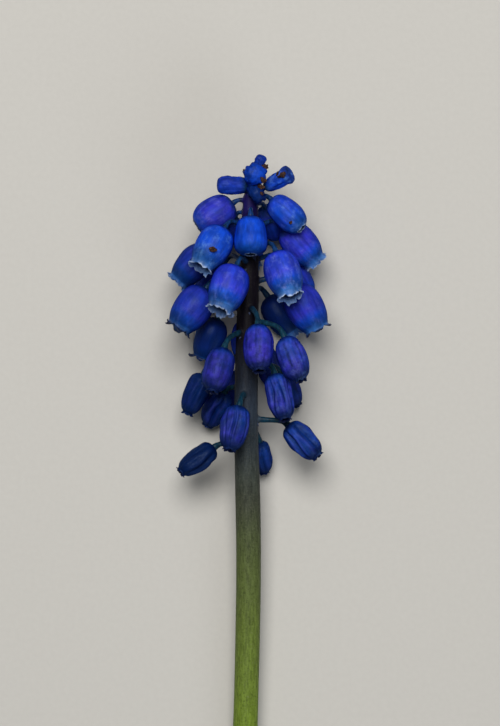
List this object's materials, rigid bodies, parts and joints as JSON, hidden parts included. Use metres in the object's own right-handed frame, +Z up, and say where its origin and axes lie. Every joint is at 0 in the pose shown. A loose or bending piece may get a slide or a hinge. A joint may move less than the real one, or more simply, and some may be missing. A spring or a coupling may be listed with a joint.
{
  "type": "grape hyacinth",
  "caption": "Picked grape hyacinth lying on its side: a spike of nodding blue urn-shaped florets on short stalks round a bare, slightly curved stem.",
  "frame": {"origin": "centre of the bounding box, on the surface that the plant lies on", "axes": "+Y along the stem from its cut end to the tip of the spike, +Z up from the surface, towards the side that the picture shows"},
  "size_m": [0.0198, 0.1002, 0.0148],
  "materials": {
    "stem": "matte",
    "bud": "satin",
    "young_floret": "satin",
    "open_floret": "satin",
    "old_floret": "satin"
  },
  "bodies": {
    "root": {"stem": "stem", "bud_01": "bud", "bud_02": "bud", "bud_03": "bud", "bud_04": "bud", "bud_05": "bud", "bud_06": "bud", "bud_07": "bud", "young_floret_01": "young_floret", "young_floret_02": "young_floret", "young_floret_03": "young_floret", "young_floret_04": "young_floret", "young_floret_05": "young_floret", "young_floret_06": "young_floret", "open_floret_01": "open_floret", "open_floret_02": "open_floret", "open_floret_03": "open_floret", "open_floret_04": "open_floret", "open_floret_05": "open_floret", "open_floret_06": "open_floret", "open_floret_07": "open_floret", "open_floret_08": "open_floret", "open_floret_09": "open_floret", "open_floret_10": "open_floret", "open_floret_11": "open_floret", "open_floret_12": "open_floret", "open_floret_13": "open_floret", "old_floret_01": "old_floret", "old_floret_02": "old_floret", "old_floret_03": "old_floret", "old_floret_04": "old_floret", "old_floret_05": "old_floret", "old_floret_06": "old_floret", "old_floret_07": "old_floret", "old_floret_08": "old_floret", "old_floret_09": "old_floret", "old_floret_10": "old_floret", "old_floret_11": "old_floret", "old_floret_12": "old_floret", "old_floret_13": "old_floret", "old_floret_14": "old_floret"}
  },
  "joints": []
}
